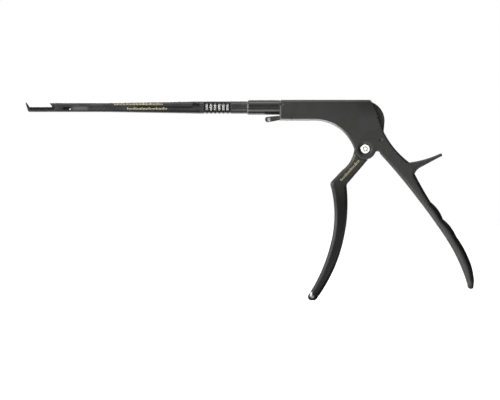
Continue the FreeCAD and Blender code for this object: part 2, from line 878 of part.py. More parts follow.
# Coil that stands on Z from the origin; the radius is to the wire's centre
def coil(radius, wire, length, turns):
    height = length - wire
    spine = Part.makeHelix(height / turns, height, radius)
    section = Part.Wire(Part.makeCircle(wire / 2, vec(radius, 0, 0), vec(0, 1, 0)))
    body = Part.Wire(spine.Edges).makePipeShell([section], True, True)
    body.translate(vec(0, 0, wire / 2))
    return body


def return_spring():
    start_x = cavity_start_x + plug_flange + coil_gap
    end_x = block_front_x + spring_pocket_depth - washer_thickness - coil_gap
    body = coil(spring_radius - spring_wire / 2 + slide_gap, spring_wire, end_x - start_x, spring_turns)
    body.rotate(vec(0, 0, 0), vec(0, 1, 0), 90)
    body.translate(vec(start_x, 0, spring_axis_z))
    return body


# Release lever: its pad is rounded in front, and its neck leans so that it clears the barrel when pressed
def release_lever():
    half = release_width / 2
    roof = release_channel_roof_z - swing_gap
    bottom = housing_bottom_z + 3 * swing_gap
    pad_middle_z = (release_pad_top_z + release_pad_low_z) / 2
    pad_round = (release_pad_top_z - release_pad_low_z) / 2
    low_x = release_nose_x + pad_round
    neck_x = housing_front_x - release_drop
    face = outline(
        (low_x, release_pad_top_z),
        ((release_nose_x, pad_middle_z), (low_x, release_pad_low_z)),
        (((low_x + housing_front_x) / 2, release_pad_low_z + release_drop), (housing_front_x, bottom)),
        (release_rear_x, bottom),
        (release_rear_x, roof),
        (release_pin_x + release_heel, roof),
        (release_pin_x, roof - release_drop),
        (housing_front_x, roof - release_drop),
        (neck_x, release_neck_z),
    )
    lever = bevel(slab(face, half), face, half, release_bevel, on_release_pad)
    side = half - tooth_side
    tooth = box(tooth_x, tooth_x + tooth_length, -side, side, roof - tooth_side, tooth_top_z)
    lever = lever.fuse(tooth)
    lever = lever.cut(rod_y(release_pin_x, release_pin_z, release_pin_radius + turn_gap, -far, far))
    pocket = rod_z(release_spring_x, release_spring_radius + 2 * swing_gap, release_pocket_floor_z, 0)
    return lever.cut(pocket).removeSplitter()


# Whether a place on the release lever's outline is in front of the housing
def on_release_pad(point):
    return point.x < housing_front_x - release_drop - 0.01


# Channel in the housing's underside for the release lever, with the way up for its tooth
def release_channel():
    half = release_width / 2 + release_side_gap
    end_x = release_rear_x + tooth_swing
    channel = box(housing_front_x - 1, end_x, -half, half, -far, release_channel_roof_z)
    side = release_width / 2 - tooth_side + swing_gap
    window_end = tooth_x + tooth_length + 2 * tooth_swing
    window = box(tooth_x - 2 * tooth_room, window_end, -side, side, release_channel_roof_z - 1, 0)
    return channel.fuse(window)


def release_pin():
    half = handle_half - pin_end_room
    return rod_y(release_pin_x, release_pin_z, release_pin_radius, -half, half)


def release_spring():
    floor = release_pocket_floor_z + coil_gap
    roof = release_channel_roof_z - coil_gap
    radius = release_spring_radius - release_spring_wire / 2
    body = coil(radius, release_spring_wire, roof - floor, release_spring_turns)
    body.translate(vec(release_spring_x, 0, floor))
    return body


parts = {
    "handle_frame": handle_frame,
    "barrel_sleeve": barrel_sleeve,
    "barrel_pins": barrel_pins,
    "lower_shaft": lower_shaft,
    "foot_plate": foot_plate,
    "upper_slider": upper_slider,
    "slider_pin": slider_pin,
    "trigger_lever": trigger_lever,
    "pivot_screw": pivot_screw,
    "pivot_nut": pivot_nut,
    "pivot_bush": pivot_bush,
    "drive_block": drive_block,
    "drive_pin": drive_pin,
    "coupling_pin": coupling_pin,
    "open_stop_pin": open_stop_pin,
    "return_spring": return_spring,
    "spring_plug": spring_plug,
    "spring_washer": spring_washer,
    "release_lever": release_lever,
    "release_pin": release_pin,
    "release_spring": release_spring,
}

os.makedirs("parts", exist_ok=True)
for name, make in parts.items():
    make().exportStep("parts/" + name + ".step")
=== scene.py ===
"""Dresses the bone rongeur: its finishes, its fine pieces, the studio light and the camera.

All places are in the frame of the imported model: X runs from the jaw towards the handle, Z is up,
and the origin is at the mouth of the barrel on the shaft's axis. Lengths are in metres, or in
millimetres where a class says so.
"""

import logging
import math
from dataclasses import dataclass
from enum import Enum
from typing import ClassVar

import bpy
from bpy.types import Material, Node, NodeSocket, NodeTree, Object
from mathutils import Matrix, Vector


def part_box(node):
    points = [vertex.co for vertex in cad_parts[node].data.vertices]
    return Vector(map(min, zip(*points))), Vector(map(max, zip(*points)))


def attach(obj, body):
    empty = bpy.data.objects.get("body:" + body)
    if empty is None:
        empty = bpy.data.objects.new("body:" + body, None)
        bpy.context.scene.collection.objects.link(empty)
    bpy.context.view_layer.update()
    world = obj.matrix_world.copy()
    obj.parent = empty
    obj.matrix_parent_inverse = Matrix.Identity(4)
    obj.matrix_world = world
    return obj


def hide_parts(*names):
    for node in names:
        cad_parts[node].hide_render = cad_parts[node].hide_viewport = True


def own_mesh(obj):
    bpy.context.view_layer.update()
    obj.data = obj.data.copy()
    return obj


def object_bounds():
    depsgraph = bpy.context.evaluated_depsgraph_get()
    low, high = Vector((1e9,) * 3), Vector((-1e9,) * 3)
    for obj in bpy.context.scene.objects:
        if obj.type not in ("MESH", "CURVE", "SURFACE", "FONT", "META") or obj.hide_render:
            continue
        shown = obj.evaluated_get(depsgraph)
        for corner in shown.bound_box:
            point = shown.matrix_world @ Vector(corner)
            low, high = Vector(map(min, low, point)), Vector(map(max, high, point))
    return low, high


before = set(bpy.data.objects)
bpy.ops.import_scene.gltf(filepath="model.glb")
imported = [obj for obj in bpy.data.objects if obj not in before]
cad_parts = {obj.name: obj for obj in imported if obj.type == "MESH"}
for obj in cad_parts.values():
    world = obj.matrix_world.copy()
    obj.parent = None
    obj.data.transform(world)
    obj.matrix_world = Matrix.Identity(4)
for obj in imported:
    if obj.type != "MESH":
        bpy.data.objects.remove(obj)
cad_low, cad_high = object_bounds()

log = logging.getLogger("rongeur")

MM = 0.001
SAME_WAY = 0.9  # The least cosine between directions that count as the same.
MIX_FIRST, MIX_SECOND, MIX_RESULT = 6, 7, 2  # The colour sockets of a Mix node.
Colour = tuple[float, float, float]
Span = tuple[float, float]


class Lay(Enum):
    """The way in which the last pass of the work left its lines on a surface."""

    BLASTED = "blasted"
    DRAWN_ALONG = "drawn_along"


class Graph:
    """Writes the nodes of one shader tree."""

    def __init__(self, tree: NodeTree) -> None:
        """Starts on an empty tree.

        Args:
            tree: The tree that the nodes go into.
        """
        self.tree = tree
        self.tree.nodes.clear()

    def add(self, kind: str, **settings: object) -> Node:
        """Adds one node and sets its own properties.

        Args:
            kind: The node's type name.
            **settings: Properties of the node and their values.

        Returns:
            The new node.
        """
        node = self.tree.nodes.new(kind)
        for name, value in settings.items():
            setattr(node, name, value)
        return node

    def feed(self, target: NodeSocket, source: NodeSocket | float | tuple[float, ...]) -> None:
        """Links a socket into another, or sets its plain value.

        Args:
            target: The input socket.
            source: An output socket, or a value.
        """
        if isinstance(source, NodeSocket):
            self.tree.links.new(source, target)
        else:
            target.default_value = source

    def maths(self, operation: str, *values: NodeSocket | float, clamp: bool = False) -> NodeSocket:
        """Works on numbers.

        Args:
            operation: The operation of the Math node.
            *values: Its inputs, in order.
            clamp: True keeps the result between 0 and 1.

        Returns:
            The socket of the result.
        """
        node = self.add("ShaderNodeMath", operation=operation, use_clamp=clamp)
        for socket, value in zip(node.inputs, values):
            self.feed(socket, value)
        return node.outputs[0]

    def vectors(self, operation: str, *values: NodeSocket | tuple[float, ...]) -> Node:
        """Works on vectors.

        Args:
            operation: The operation of the Vector Math node.
            *values: Its inputs, in order.

        Returns:
            The node, whose outputs are Vector and Value.
        """
        node = self.add("ShaderNodeVectorMath", operation=operation)
        for socket, value in zip(node.inputs, values):
            self.feed(socket, value)
        return node

    def split(self, vector: NodeSocket) -> Node:
        """Takes a vector apart.

        Args:
            vector: The vector.

        Returns:
            The node, whose outputs are X, Y and Z.
        """
        node = self.add("ShaderNodeSeparateXYZ")
        self.feed(node.inputs[0], vector)
        return node

    def noise(
        self, place: NodeSocket, scale: NodeSocket | float, detail: float = 2.0,
    ) -> NodeSocket:
        """Adds soft noise.

        Args:
            place: The coordinates that it is read at.
            scale: Its cycles in a metre.
            detail: Its octaves.

        Returns:
            The noise, between 0 and 1.
        """
        node = self.add("ShaderNodeTexNoise")
        self.feed(node.inputs["Vector"], place)
        self.feed(node.inputs["Scale"], scale)
        self.feed(node.inputs["Detail"], detail)
        return node.outputs["Fac"]

    def span(
        self, value: NodeSocket, low: float, high: float,
        to_low: NodeSocket | float = 0.0, to_high: NodeSocket | float = 1.0,
    ) -> NodeSocket:
        """Stretches the part of a value between two levels, clamped, onto another span.

        Args:
            value: The value.
            low: The level that becomes to_low.
            high: The level that becomes to_high.
            to_low: The lower end of the result.
            to_high: The upper end of the result.

        Returns:
            The socket of the result.
        """
        node = self.add("ShaderNodeMapRange")
        for name, level in zip(("Value", "From Min", "From Max", "To Min", "To Max"),
                               (value, low, high, to_low, to_high)):
            self.feed(node.inputs[name], level)
        return node.outputs["Result"]

    def blend(
        self, share: NodeSocket | float, first: NodeSocket | Colour, second: NodeSocket | Colour,
    ) -> NodeSocket:
        """Blends two colours.

        Args:
            share: How much of the second shows.
            first: The colour at share 0.
            second: The colour at share 1.

        Returns:
            The blended colour.
        """
        node = self.add("ShaderNodeMix", data_type="RGBA")
        self.feed(node.inputs["Factor"], share)
        for index, colour in ((MIX_FIRST, first), (MIX_SECOND, second)):
            full = colour if isinstance(colour, NodeSocket) else (*colour, 1.0)
            self.feed(node.inputs[index], full)
        return node.outputs[MIX_RESULT]

    def bumped(
        self, height: NodeSocket, depth: float, normal: NodeSocket | None = None,
    ) -> NodeSocket:
        """Gives the normal of a rough surface.

        Args:
            height: Its height, between 0 and 1.
            depth: How deep that is.
            normal: The normal of the smooth surface, or the mesh's own.

        Returns:
            The normal.
        """
        node = self.add("ShaderNodeBump")
        self.feed(node.inputs["Distance"], depth)
        self.feed(node.inputs["Height"], height)
        if normal:
            self.feed(node.inputs["Normal"], normal)
        return node.outputs["Normal"]

    def directly_seen(self, path: Node) -> NodeSocket:
        """Says whether the eye is at the ray's end, also through glass.

        Args:
            path: The Light Path node.

        Returns:
            The mask, 1 for such a ray.
        """
        through = path.outputs["Is Transmission Ray"]
        return self.maths("MAXIMUM", path.outputs["Is Camera Ray"], through)

    def surface(self, values: dict[str, NodeSocket | float]) -> None:
        """Ends a material with one shader.

        Args:
            values: A value or a socket for each input that it sets.
        """
        shader = self.add("ShaderNodeBsdfPrincipled")
        for label, value in values.items():
            self.feed(shader.inputs[label], value)
        out = self.add("ShaderNodeOutputMaterial")
        self.feed(out.inputs["Surface"], shader.outputs["BSDF"])


def new_material(name: str) -> tuple[Material, Graph]:
    """Starts a material.

    Args:
        name: Its name.

    Returns:
        The material, and its empty tree.
    """
    made = bpy.data.materials.new(name)
    made.use_nodes = True
    return made, Graph(made.node_tree)


class SharedEffect:
    """A node group that several finishes place with values of their own."""

    name = "effect"
    inputs: dict[str, tuple[str, float]] = {}
    outputs: dict[str, str] = {}

    def tree(self) -> NodeTree:
        """Gives the group's tree, built at the first call."""
        known = bpy.data.node_groups.get(self.name)
        if known:
            return known
        tree = bpy.data.node_groups.new(self.name, "ShaderNodeTree")
        for label, (kind, start) in self.inputs.items():
            socket = tree.interface.new_socket(label, in_out="INPUT", socket_type=kind)
            if kind == "NodeSocketFloat":
                socket.default_value = start
        for label, kind in self.outputs.items():
            tree.interface.new_socket(label, in_out="OUTPUT", socket_type=kind)
        graph = Graph(tree)
        given = graph.add("NodeGroupInput")
        result = graph.add("NodeGroupOutput")
        self.fill(graph, given, result)
        return tree

    def fill(self, graph: Graph, given: Node, result: Node) -> None:
        """Writes the nodes between the group's ends.

        Args:
            graph: The group's tree.
            given: The node with the group's inputs.
            result: The node with its outputs.
        """
        raise NotImplementedError

    def place(self, graph: Graph, **values: NodeSocket | float) -> Node:
        """Puts the group into a material.

        Args:
            graph: The material's tree.
            **values: Values or sockets for its inputs, with _ for a space.

        Returns:
            The group node.
        """
        node = graph.add("ShaderNodeGroup", node_tree=self.tree())
        for label, value in values.items():
            graph.feed(node.inputs[label.replace("_", " ")], value)
        return node


class EdgeWear(SharedEffect):
    """A mask of the edges, where handling thins a coating."""

    name = "edge_wear"
    inputs = {
        "Place": ("NodeSocketVector", 0.0),
        "Reach": ("NodeSocketFloat", 0.00018),
        "Amount": ("NodeSocketFloat", 0.5),
    }
    outputs = {"Mask": "NodeSocketFloat"}
    samples = 6
    edge_cosines = (1.0, 0.93)
    breakup_scale = 900.0
    breakup_span = (0.32, 0.6)

    def fill(self, graph: Graph, given: Node, result: Node) -> None:
        """Compares the rounded normal with the plain one, and breaks the line up.

        Args:
            graph: The group's tree.
            given: The node with the group's inputs.
            result: The node with its outputs.
        """
        rounded = graph.add("ShaderNodeBevel", samples=self.samples)
        graph.feed(rounded.inputs["Radius"], given.outputs["Reach"])
        plain = graph.add("ShaderNodeNewGeometry")
        match = graph.vectors("DOT_PRODUCT", rounded.outputs["Normal"], plain.outputs["Normal"])
        edge = graph.span(match.outputs["Value"], *self.edge_cosines)
        patches = graph.noise(given.outputs["Place"], self.breakup_scale, detail=3.0)
        worn = graph.maths("MULTIPLY", edge, graph.span(patches, *self.breakup_span))
        mask = graph.maths("MULTIPLY", worn, given.outputs["Amount"], clamp=True)
        graph.feed(result.inputs["Mask"], mask)


class FineGrain(SharedEffect):
    """The pitted skin that bead blasting leaves under a coating."""

    name = "fine_grain"
    inputs = {"Place": ("NodeSocketVector", 0.0), "Scale": ("NodeSocketFloat", 4200.0)}
    outputs = {"Height": "NodeSocketFloat", "Tone": "NodeSocketFloat"}
    fine_share, coarse_share = 0.6, 0.4
    coarse_pitch = 0.35
    patch_scale = 110.0
    patch_span = (0.35, 0.65)

    def fill(self, graph: Graph, given: Node, result: Node) -> None:
        """Lays coarse pits over fine ones, and wide soft patches of tone over both.

        Args:
            graph: The group's tree.
            given: The node with the group's inputs.
            result: The node with its outputs.
        """
        fine = graph.noise(given.outputs["Place"], given.outputs["Scale"], detail=1.0)
        coarse_scale = graph.maths("MULTIPLY", given.outputs["Scale"], self.coarse_pitch)
        coarse = graph.noise(given.outputs["Place"], coarse_scale)
        fine = graph.maths("MULTIPLY", fine, self.fine_share)
        coarse = graph.maths("MULTIPLY", coarse, self.coarse_share)
        patches = graph.noise(given.outputs["Place"], self.patch_scale, detail=3.0)
        graph.feed(result.inputs["Height"], graph.maths("ADD", fine, coarse))
        graph.feed(result.inputs["Tone"], graph.span(patches, *self.patch_span))


class ToolLines(SharedEffect):
    """Fine lines that a grinder or a lathe leaves, drawn out along one direction."""

    name = "tool_lines"
    inputs = {
        "Place": ("NodeSocketVector", 0.0),
        "Lines": ("NodeSocketFloat", 9000.0),
        "Run": ("NodeSocketFloat", 260.0),
    }
    outputs = {"Height": "NodeSocketFloat"}

    def fill(self, graph: Graph, given: Node, result: Node) -> None:
        """Stretches noise along X, so that each streak runs that way.

        Args:
            graph: The group's tree.
            given: The node with the group's inputs.
            result: The node with its outputs.
        """
        scales = graph.add("ShaderNodeCombineXYZ")
        graph.feed(scales.inputs["X"], given.outputs["Run"])
        graph.feed(scales.inputs["Y"], given.outputs["Lines"])
        graph.feed(scales.inputs["Z"], given.outputs["Lines"])
        stretched = graph.vectors("MULTIPLY", given.outputs["Place"], scales.outputs["Vector"])
        graph.feed(result.inputs["Height"], graph.noise(stretched.outputs["Vector"], 1.0))


class Handling(SharedEffect):
    """Soft smudges that gloves and wiping leave, as a mask."""

    name = "handling"
    inputs = {"Place": ("NodeSocketVector", 0.0), "Scale": ("NodeSocketFloat", 70.0)}
    outputs = {"Mask": "NodeSocketFloat"}
    push = 0.02
    smudge_span = (0.35, 0.7)

    def fill(self, graph: Graph, given: Node, result: Node) -> None:
        """Warps wide noise with itself, so that the smudges have drawn out shapes.

        Args:
            graph: The group's tree.
            given: The node with the group's inputs.
            result: The node with its outputs.
        """
        warp = graph.add("ShaderNodeTexNoise")
        graph.feed(warp.inputs["Vector"], given.outputs["Place"])
        graph.feed(warp.inputs["Scale"], given.outputs["Scale"])
        push = graph.vectors("SCALE", warp.outputs["Color"])
        push.inputs["Scale"].default_value = self.push
        moved = graph.vectors("ADD", given.outputs["Place"], push.outputs["Vector"])
        smudge = graph.noise(moved.outputs["Vector"], given.outputs["Scale"], detail=4.0)
        graph.feed(result.inputs["Mask"], graph.span(smudge, *self.smudge_span))


@dataclass(frozen=True)
class Zone:
    """A box, alike on both broad sides, in which a surface has another finish, such as painted
    shade and painted highlights of bare steel.

    Its places are in millimetres.

    Attributes:
        along: Where it starts and ends on X.
        across: How far from the middle it starts and ends on Y.
        upright: Its lowest and highest point.
        strength: How fully it has that finish.
        soft: The width over which it fades at its edges.
    """

    along: Span
    across: Span
    upright: Span
    strength: float = 1.0
    soft: float = 0.04

    def mask(self, graph: Graph, place: NodeSocket) -> NodeSocket:
        """Says which points are in the box.

        Args:
            graph: The material's tree.
            place: The coordinates of the point.

        Returns:
            The mask, 0 outside the box.
        """
        parts = graph.split(place)
        sides = (
            (parts.outputs["X"], self.along),
            (graph.maths("ABSOLUTE", parts.outputs["Y"]), self.across),
            (parts.outputs["Z"], self.upright),
        )
        inside = self.strength
        for value, (low, high) in sides:
            off = graph.maths("ABSOLUTE", graph.maths("SUBTRACT", value, (low + high) / 2 * MM))
            half = (high - low) / 2 * MM
            fade = self.soft / 2 * MM
            inside = graph.maths("MULTIPLY", graph.span(off, half + fade, half - fade), inside)
        return inside


def any_zone(
    zones: tuple[Zone, ...], graph: Graph, place: NodeSocket, least: NodeSocket | float = 0.0,
) -> NodeSocket:
    """Joins the masks of several zones with another mask.

    Args:
        zones: The zones.
        graph: The material's tree.
        place: The coordinates of the point.
        least: The other mask, or 0.

    Returns:
        The strongest of them at each point.
    """
    mask = least
    for zone in zones:
        mask = graph.maths("MAXIMUM", zone.mask(graph, place), mask)
    return mask


@dataclass(frozen=True)
class Coating:
    """A thin dark ceramic coating on blasted steel.

    Attributes:
        name: The material's name.
        colour: Its colour.
        second: The colour that it drifts to in patches.
        bare_and_highlight: The bare metal that shows where it is worn, and where highlights are
            painted on.
        roughness: Its least and most roughness.
        specular: The strength of its reflections.
        wear: How much of the edges is worn, from 0 to 1.
        lay: The way its lines run.
        easing: The radius to which its edges look rounded, at the top and lower down.
        low_painted_tone: The colour that it fades to lower down, if it does, as painted light and
            shade.
        fade_heights: The heights at which that fade begins and ends.
        painted_highlights: Where highlights are painted on as bright bare steel.
        painted_shade: Where shade is painted on, near black, in grooves, gaps, recesses and
            undersides.
        rear_painted_shade: How dark the shade painted on its eased rear edge is lower down, from 0
            to 1.
        under_painted_highlight: How strongly a highlight is painted on its eased lower edge high
            up, as bare metal, from 0 to 1.
        reach: How far from an edge the wear goes.
        grain: The depth of the grain under it.
        easing_heights: The heights at which the first easing ends and the second begins.
        easing_samples: The rays that look for an edge.
        painted_shade_colour: The near black colour of the painted shade.
        rear_shade_heights: The heights at which the painted shade on the rear edge begins and is
            full.
        rear_shade_turn: The X of the eased normals between which it gets so.
        under_highlight_heights: The heights at which the painted highlight on the lower edge begins
            and is full.
        under_highlight_top: The height above which it isn't.
        under_highlight_turn: The Z of the eased normals between which it gets so.
    """

    name: str
    colour: Colour
    second: Colour
    bare_and_highlight: Colour = (0.22, 0.22, 0.21)
    roughness: Span = (0.3, 0.42)
    specular: float = 0.4
    wear: float = 0.3
    lay: Lay = Lay.BLASTED
    easing: Span = (0.3 * MM, 0.3 * MM)
    low_painted_tone: Colour | None = None
    fade_heights: Span = (-45.0 * MM, -75.0 * MM)
    painted_highlights: tuple[Zone, ...] = ()
    painted_shade: tuple[Zone, ...] = ()
    rear_painted_shade: float = 0.0
    under_painted_highlight: float = 0.0

    reach: ClassVar[float] = 0.14 * MM
    grain: ClassVar[float] = 0.004 * MM
    easing_heights: ClassVar[Span] = (-28.0 * MM, -50.0 * MM)
    easing_samples: ClassVar[int] = 16
    painted_shade_colour: ClassVar[Colour] = (0.004, 0.004, 0.004)
    rear_shade_heights: ClassVar[Span] = (-14.0 * MM, -34.0 * MM)
    rear_shade_turn: ClassVar[Span] = (0.07, 0.26)
    under_highlight_heights: ClassVar[Span] = (-22.0 * MM, -12.0 * MM)
    under_highlight_top: ClassVar[float] = -7.6 * MM
    under_highlight_turn: ClassVar[Span] = (-0.15, -0.5)

    def material(self) -> Material:
        """Gives the material, built at the first call."""
        known = bpy.data.materials.get(self.name)
        if known:
            return known
        made, graph = new_material(self.name)
        place = graph.add("ShaderNodeTexCoord").outputs["Object"]
        grain = FineGrain().place(graph, Place=place)
        smudge = Handling().place(graph, Place=place)
        wear = EdgeWear().place(graph, Place=place, Reach=self.reach, Amount=self.wear)
        height = grain.outputs["Height"]
        if self.lay is Lay.DRAWN_ALONG:
            lines = ToolLines().place(graph, Place=place)
            height = graph.maths("ADD", height, lines.outputs["Height"])
        level = graph.split(place).outputs["Z"]
        skin = self.skin(graph, place, level, grain.outputs["Tone"])
        eased = self.eased_normal(graph, level)
        # Bare metal: the worn edges, and the highlights painted on as bright steel.
        bare_and_highlight = any_zone(self.painted_highlights, graph, place, wear.outputs["Mask"])
        # Painted shade: the eased rear edge turns near black lower down, where the light falls
        # away.
        if self.rear_painted_shade:
            skin = graph.blend(self.rear_shade_mask(graph, level, eased), skin, self.painted_shade_colour)
        # Painted highlight: the eased lower edge high up is made bare bright metal, for a bright
        # line.
        if self.under_painted_highlight:
            bare_and_highlight = graph.maths("MAXIMUM", bare_and_highlight, self.under_highlight_mask(graph, level, eased))
        graph.surface({
            "Base Color": graph.blend(bare_and_highlight, skin, self.bare_and_highlight),
            "Roughness": graph.span(smudge.outputs["Mask"], 0.0, 1.0, *self.roughness),
            "Metallic": bare_and_highlight,
            "Specular IOR Level": self.specular,
            "Normal": graph.bumped(height, self.grain, eased),
        })
        return made

    def skin(
        self, graph: Graph, place: NodeSocket, level: NodeSocket, patches: NodeSocket,
    ) -> NodeSocket:
        """Gives the colour of the coating away from its edges, with the light and shade that are
        painted into it.

        Args:
            graph: The material's tree.
            place: The coordinates of the point.
            level: Its height.
            patches: The mask of the patches of the second colour.

        Returns:
            The colour.
        """
        tone = graph.blend(patches, self.colour, self.second)
        # Painted light and shade by height: the tone changes lower down, as the light does.
        if self.low_painted_tone:
            tone = graph.blend(graph.span(level, *self.fade_heights), tone, self.low_painted_tone)
        # Painted shade: near black where shade falls in grooves, gaps and recesses.
        if self.painted_shade:
            tone = graph.blend(any_zone(self.painted_shade, graph, place), tone, self.painted_shade_colour)
        return tone

    def eased_normal(self, graph: Graph, level: NodeSocket) -> NodeSocket:
        """Gives normals that round the edges off.

        Args:
            graph: The material's tree.
            level: The height of the point.

        Returns:
            The normal.
        """
        eased = graph.add("ShaderNodeBevel", samples=self.easing_samples)
        top, low = self.easing
        radius = top if top == low else graph.span(level, *self.easing_heights, top, low)
        graph.feed(eased.inputs["Radius"], radius)
        return eased.outputs["Normal"]

    def rear_shade_mask(self, graph: Graph, level: NodeSocket, eased: NodeSocket) -> NodeSocket:
        """Says where shade is painted, near black, on the eased rear edge.

        Args:
            graph: The material's tree.
            level: The height of the point.
            eased: Its eased normal.

        Returns:
            The mask.
        """
        rear = graph.span(graph.split(eased).outputs["X"], *self.rear_shade_turn, 0.0, self.rear_painted_shade)
        return graph.maths("MULTIPLY", rear, graph.span(level, *self.rear_shade_heights))

    def under_highlight_mask(self, graph: Graph, level: NodeSocket, eased: NodeSocket) -> NodeSocket:
        """Says where a highlight is painted on the eased lower edge, as bare bright metal.

        Args:
            graph: The material's tree.
            level: The height of the point.
            eased: Its eased normal.

        Returns:
            The mask.
        """
        under = graph.span(graph.split(eased).outputs["Z"], *self.under_highlight_turn, 0.0, self.under_painted_highlight)
        under = graph.maths("MULTIPLY", under, graph.span(level, *self.under_highlight_heights))
        return graph.maths("MULTIPLY", under, graph.maths("LESS_THAN", level, self.under_highlight_top))


@dataclass(frozen=True)
class BareMetal:
    """Bare metal with fine tool lines.

    Attributes:
        name: The material's name.
        colour: Its colour.
        tarnish: The colour of its duller patches.
        roughness: Its least and most roughness.
        shade_ring: The middle radius and half width of a ring of painted shade, if it has one.
        shade_ring_centre: The X and Z of that ring's axis.
        lines: The depth of its tool lines.
        tarnished: The share of the tarnish, from 0 to 1.
        smudge_scale: The smudges in a metre.
        shade_ring_core: The share of the ring's half width that is darkest.
        ring_shade_colour: The colour of the painted shade.
    """

    name: str
    colour: Colour
    tarnish: Colour
    roughness: Span = (0.14, 0.3)
    shade_ring: Span | None = None
    shade_ring_centre: Span = (0.0, 0.0)

    lines: ClassVar[float] = 0.002 * MM
    tarnished: ClassVar[float] = 0.4
    smudge_scale: ClassVar[float] = 240.0
    shade_ring_core: ClassVar[float] = 0.4
    ring_shade_colour: ClassVar[Colour] = (0.03, 0.028, 0.024)

    def material(self) -> Material:
        """Gives the material, built at the first call."""
        known = bpy.data.materials.get(self.name)
        if known:
            return known
        made, graph = new_material(self.name)
        place = graph.add("ShaderNodeTexCoord").outputs["Object"]
        lines = ToolLines().place(graph, Place=place)
        smudge = Handling().place(graph, Place=place, Scale=self.smudge_scale)
        dull = graph.maths("MULTIPLY", smudge.outputs["Mask"], self.tarnished)
        tone = graph.blend(dull, self.colour, self.tarnish)
        # Painted shade: a dark ring at the rim of the socket.
        if self.shade_ring:
            tone = graph.blend(self.shade_ring_mask(graph, place), tone, self.ring_shade_colour)
        graph.surface({
            "Base Color": tone,
            "Roughness": graph.span(smudge.outputs["Mask"], 0.0, 1.0, *self.roughness),
            "Metallic": 1.0,
            "Normal": graph.bumped(lines.outputs["Height"], self.lines),
        })
        return made

    def shade_ring_mask(self, graph: Graph, place: NodeSocket) -> NodeSocket:
        """Says how near a point is to the ring of painted shade.

        Args:
            graph: The material's tree.
            place: The coordinates of the point.

        Returns:
            The mask of the ring.
        """
        middle, half = self.shade_ring
        level = graph.vectors("MULTIPLY", place, (1.0, 0.0, 1.0)).outputs["Vector"]
        centre = (self.shade_ring_centre[0], 0.0, self.shade_ring_centre[1])
        radius = graph.vectors("DISTANCE", level, centre).outputs["Value"]
        off = graph.maths("ABSOLUTE", graph.maths("SUBTRACT", radius, middle))
        return graph.span(off, half, half * self.shade_ring_core)


# Handle: painted light lower down on the grip, painted shade on the grip's rear edge, a painted
# highlight along the housing's lower edge, and painted shade growing over the housing's rear.
HANDLE_COAT = Coating(
    "handle_coat", (0.048, 0.05, 0.042), (0.056, 0.055, 0.055), bare_and_highlight=(0.6, 0.6, 0.58), wear=0.05,
    easing=(1.1 * MM, 4.2 * MM), low_painted_tone=(0.07, 0.07, 0.066), rear_painted_shade=0.92, under_painted_highlight=0.8,
    painted_shade=(
        Zone((54.0, 120.0), (0.0, 7.0), (-5.0, 12.0), strength=0.25, soft=8.0),
        Zone((74.0, 120.0), (0.0, 7.0), (-4.0, 12.0), strength=0.72, soft=9.0),
    ),
)
# Trigger: painted shade darkening the blade downward, and a painted glint of bright steel on the
# tip.
TRIGGER_COAT = Coating(
    "trigger_coat", (0.053, 0.055, 0.045), (0.066, 0.065, 0.06), bare_and_highlight=(0.75, 0.75, 0.72),
    specular=0.3, wear=0.03, easing=(1.0 * MM, 1.6 * MM), low_painted_tone=(0.008, 0.008, 0.0075),
    fade_heights=(-36.0 * MM, -66.0 * MM),
    painted_highlights=(
        Zone((43.5, 44.8), (3.0, 7.0), (-131.3, -128.2), strength=0.75, soft=0.9),
        Zone((44.0, 46.0), (3.0, 7.0), (-132.4, -130.8), strength=0.75, soft=0.9),
    ),
)
SHAFT_COAT = Coating(
    "shaft_coat", (0.038, 0.036, 0.038), (0.066, 0.063, 0.066), bare_and_highlight=(0.8, 0.79, 0.76),
    roughness=(0.24, 0.34), wear=0.02, lay=Lay.DRAWN_ALONG, easing=(0.12 * MM, 0.12 * MM),
    painted_highlights=(
        # Bright steel on the ribs' flanks, partly worn bare and partly a painted highlight; a soft
        # painted highlight behind the window.
        Zone((-29.2, -12.8), (3.86, 5.0), (-1.95, 3.0)),
        Zone((-121.2, -111.0), (2.0, 2.7), (-1.5, 0.3), strength=0.32, soft=2.2),
    ),
    painted_shade=(
        # Painted shade: the rib grooves, the window, the split between the halves, the underside,
        # near the jaw, and in front of the ribs.
        Zone((-30.3, -11.65), (1.0, 3.46), (-6.0, 6.0)),
        Zone((-129.2, -122.75), (0.0, 1.3), (-1.69, 0.3)),
        Zone((-122.2, -31.2), (1.4, 4.0), (0.1, 0.42)),
        Zone((-76.0, -38.0), (1.4, 4.4), (-0.5, 0.8), strength=0.85, soft=0.3),
        Zone((-112.0, -33.0), (0.0, 5.0), (-6.0, -2.2), strength=0.9, soft=0.8),
        Zone((-151.5, -134.0), (0.0, 5.0), (-1.6, 0.8), strength=0.8, soft=0.6),
        Zone((-38.2, -33.2), (1.4, 4.4), (0.9, 4.4), soft=0.9),
    ),
)
# Barrel: a painted highlight of bright steel at its front edge, and painted shade in the recess
# over the release lever.
BARREL_COAT = Coating(
    "barrel_coat", (0.026, 0.027, 0.022), (0.034, 0.034, 0.032), bare_and_highlight=(0.7, 0.69, 0.66),
    roughness=(0.2, 0.28), specular=0.6, wear=0.02,
    painted_highlights=(Zone((-1.0, 0.25), (0.0, 6.0), (-4.0, 4.4)),),
    painted_shade=(Zone((12.0, 22.3), (2.0, 4.2), (-6.0, -3.07)),),
)
PIN_COAT = Coating("pin_coat", (0.008, 0.008, 0.008), (0.014, 0.013, 0.013), wear=0.2)
POLISHED_STEEL = BareMetal("polished_steel", (0.6, 0.6, 0.57), (0.4, 0.39, 0.36))
# Screw: a ring of painted shade at the rim of its socket.
SCREW_STEEL = BareMetal(
    "screw_steel", (0.84, 0.83, 0.78), (0.66, 0.65, 0.6), (0.12, 0.2),
    shade_ring=(1.45 * MM, 0.35 * MM), shade_ring_centre=(81.7 * MM, -28.9 * MM),
)
